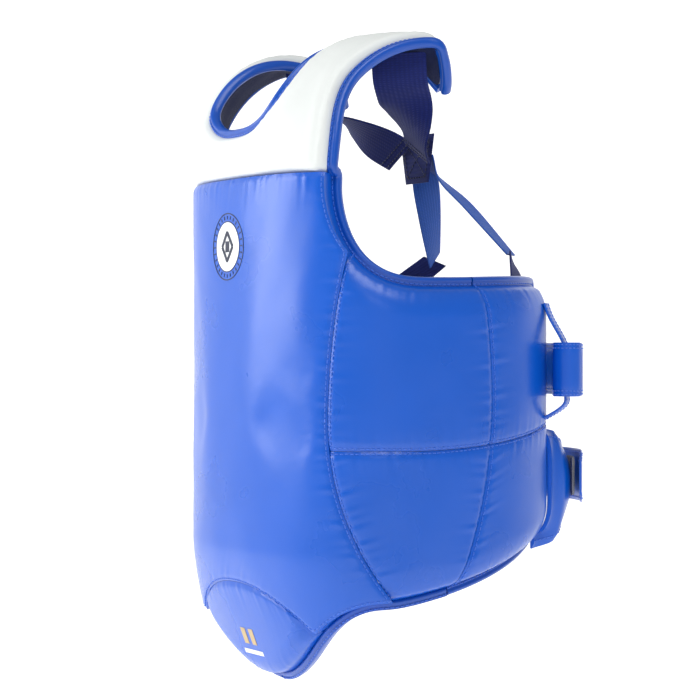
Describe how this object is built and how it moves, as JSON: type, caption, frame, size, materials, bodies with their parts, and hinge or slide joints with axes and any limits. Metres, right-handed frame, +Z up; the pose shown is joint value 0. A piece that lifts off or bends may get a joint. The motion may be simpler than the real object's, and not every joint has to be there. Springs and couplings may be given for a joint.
{
  "type": "chest protector",
  "caption": "Padded martial arts chest protector with a white shoulder yoke, quilted side wings, crossed back webbing and straps that close behind.",
  "frame": {"origin": "middle of the shoulder line, where the shoulder arms rest on the wearer, at the height of the crest of the shoulder arms", "axes": "+X towards the wearer's left, -Y out of the chest, +Z up"},
  "size_m": [0.344, 0.3493, 0.5959],
  "materials": {
    "blue_pu": "semi-gloss PU leather, fine pebble grain, royal blue",
    "white_pu": "semi-gloss PU leather, fine grain, white",
    "binding_pu": "folded PU binding tape with a row of stitches",
    "strap_pu": "folded PU strap with stitched edges",
    "pad_foam": "closed-cell foam, matt",
    "textile_lining": "navy woven lining, matt",
    "navy_webbing": "woven polypropylene webbing, navy",
    "blue_webbing": "woven elastic webbing, mid blue",
    "hook_and_loop": "hook and loop tape",
    "white_print": "printed transfer, white",
    "silver_print": "printed transfer, pale gold and silver"
  },
  "bodies": {
    "root": {"back_patch": "navy_webbing", "badge_disc": "white_print", "badge_ring": "blue_pu", "bib_foam": "pad_foam", "front_cover": "blue_pu", "front_foam": "pad_foam", "front_lining": "textile_lining", "hem_binding": "binding_pu", "left_armhole_binding": "binding_pu", "left_cross_strap": "blue_webbing", "left_shoulder_band": "navy_webbing", "left_shoulder_foam": "pad_foam", "left_side_lining": "textile_lining", "left_side_lower_cover": "blue_pu", "left_side_lower_foam": "pad_foam", "left_side_upper_cover": "blue_pu", "left_side_upper_foam": "pad_foam", "neck_binding": "binding_pu", "right_armhole_binding": "binding_pu", "right_cross_strap": "blue_webbing", "right_shoulder_band": "navy_webbing", "right_shoulder_foam": "pad_foam", "right_side_lining": "textile_lining", "right_side_lower_cover": "blue_pu", "right_side_lower_foam": "pad_foam", "right_side_upper_cover": "blue_pu", "right_side_upper_foam": "pad_foam", "tip_cover": "blue_pu", "tip_foam": "pad_foam", "tip_lining": "textile_lining", "tip_mark": "silver_print", "yoke_cover": "white_pu", "yoke_lining": "textile_lining"},
    "left_wing": {"left_bail": "strap_pu", "left_flap": "strap_pu", "left_gusset": "navy_webbing", "left_hook_patch": "hook_and_loop", "left_wing_binding": "binding_pu", "left_wing_lining": "textile_lining", "left_wing_lower_cover": "blue_pu", "left_wing_lower_foam": "pad_foam", "left_wing_upper_cover": "blue_pu", "left_wing_upper_foam": "pad_foam"},
    "right_wing": {"right_gusset": "navy_webbing", "right_landing_patch": "hook_and_loop", "right_wing_binding": "binding_pu", "right_wing_lining": "textile_lining", "right_wing_lower_cover": "blue_pu", "right_wing_lower_foam": "pad_foam", "right_wing_upper_cover": "blue_pu", "right_wing_upper_foam": "pad_foam"},
    "upper_strap": {"upper_strap": "strap_pu", "upper_loop_patch": "hook_and_loop"},
    "upper_tail": {"upper_strap_tail": "strap_pu"},
    "lower_strap": {"lower_strap": "strap_pu"}
  },
  "joints": [
    {"name": "left_wing_open", "type": "hinge", "parent": "root", "child": "left_wing", "pos_m": [0.1694, 0.0385, -0.37], "axis": [0, 0, -1], "range_deg": [0, 32], "stiffness_Nm_per_rad": 1.2},
    {"name": "right_wing_open", "type": "hinge", "parent": "root", "child": "right_wing", "pos_m": [-0.1694, 0.0385, -0.37], "axis": [0, 0, 1], "range_deg": [0, 32], "stiffness_Nm_per_rad": 1.2},
    {"name": "upper_strap_swing", "type": "hinge", "parent": "left_wing", "child": "upper_strap", "pos_m": [0.141, 0.1514, -0.308], "axis": [0, 0, -1], "range_deg": [0, 60]},
    {"name": "upper_tail_peel", "type": "hinge", "parent": "upper_strap", "child": "upper_tail", "pos_m": [0.1505, 0.1595, -0.308], "axis": [0, 0, -1], "range_deg": [0, 60]},
    {"name": "lower_strap_swing", "type": "hinge", "parent": "right_wing", "child": "lower_strap", "pos_m": [-0.1244, 0.1453, -0.41], "axis": [0, 0, 1], "range_deg": [0, 60]}
  ],
  "couplings": [
    {"joint": "right_wing_open", "follows": "left_wing_open", "ratio": 1}
  ]
}
